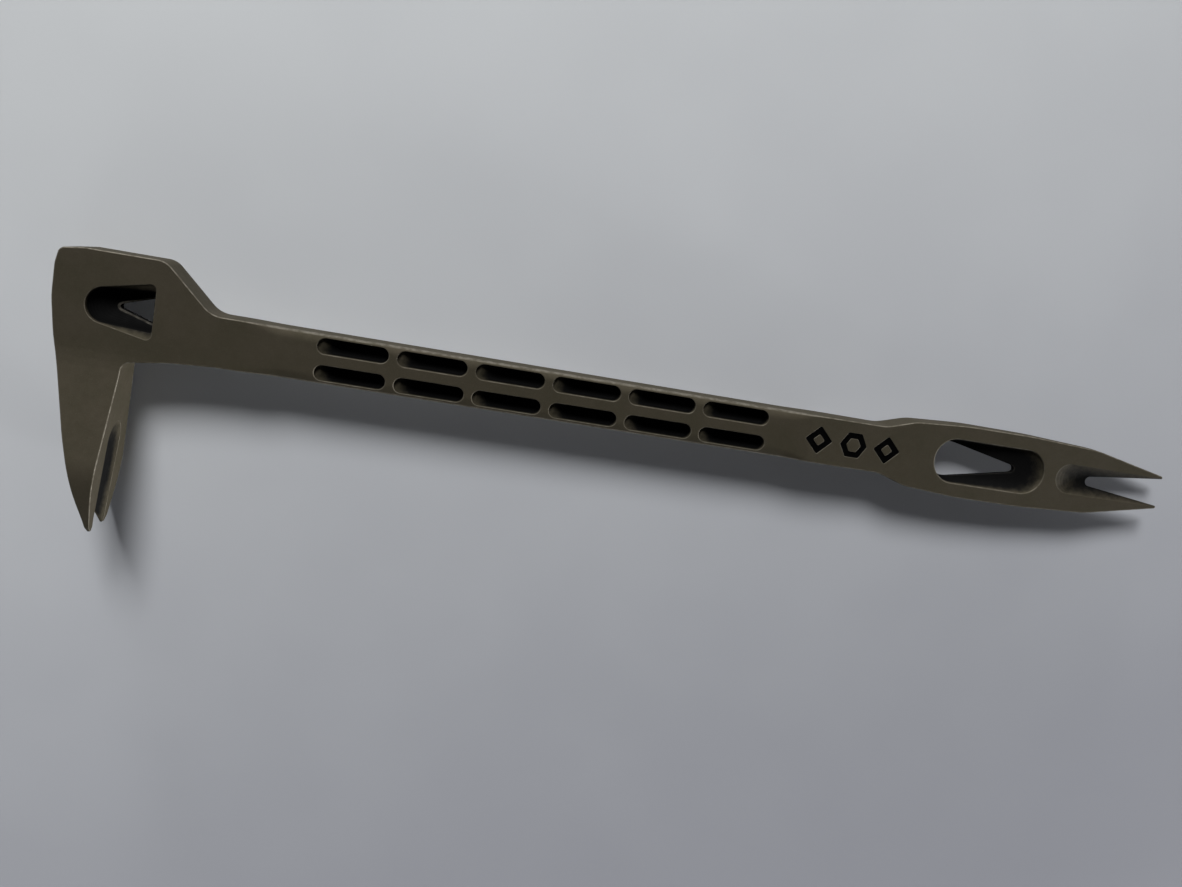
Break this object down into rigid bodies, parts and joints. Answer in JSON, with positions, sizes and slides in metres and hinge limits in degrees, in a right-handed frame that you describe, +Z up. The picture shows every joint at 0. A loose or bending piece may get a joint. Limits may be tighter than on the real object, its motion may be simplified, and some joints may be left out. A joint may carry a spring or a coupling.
{
  "type": "nail puller",
  "caption": "Short one-piece titanium nail puller: hammer-struck head with a nail window and a flared claw, pocketed grip, and a thin forked tail with a teardrop nail slot.",
  "frame": {"origin": "on the ground, under the middle of the bounding box", "axes": "+X along the bar from the head to the forked tail, +Z up, +Y to the side that the head's top points to; the bar lies on its side as it rests by itself, on the claw's flare, the head's top edge and the far end of the shaft, so its faces are tilted about 6 degrees"},
  "size_m": [0.305, 0.0726, 0.0245],
  "materials": {
    "titanium": "bead-blasted, dark",
    "enamel": "satin black filling"
  },
  "bodies": {
    "root": {"head": "titanium", "head_claw": "titanium", "neck": "titanium", "shaft": "titanium", "panel": "titanium", "tail_blade": "titanium", "tail_claw": "titanium", "mark_diamond_a_enamel": "enamel", "mark_hexagon_enamel": "enamel", "mark_diamond_b_enamel": "enamel"}
  },
  "joints": []
}
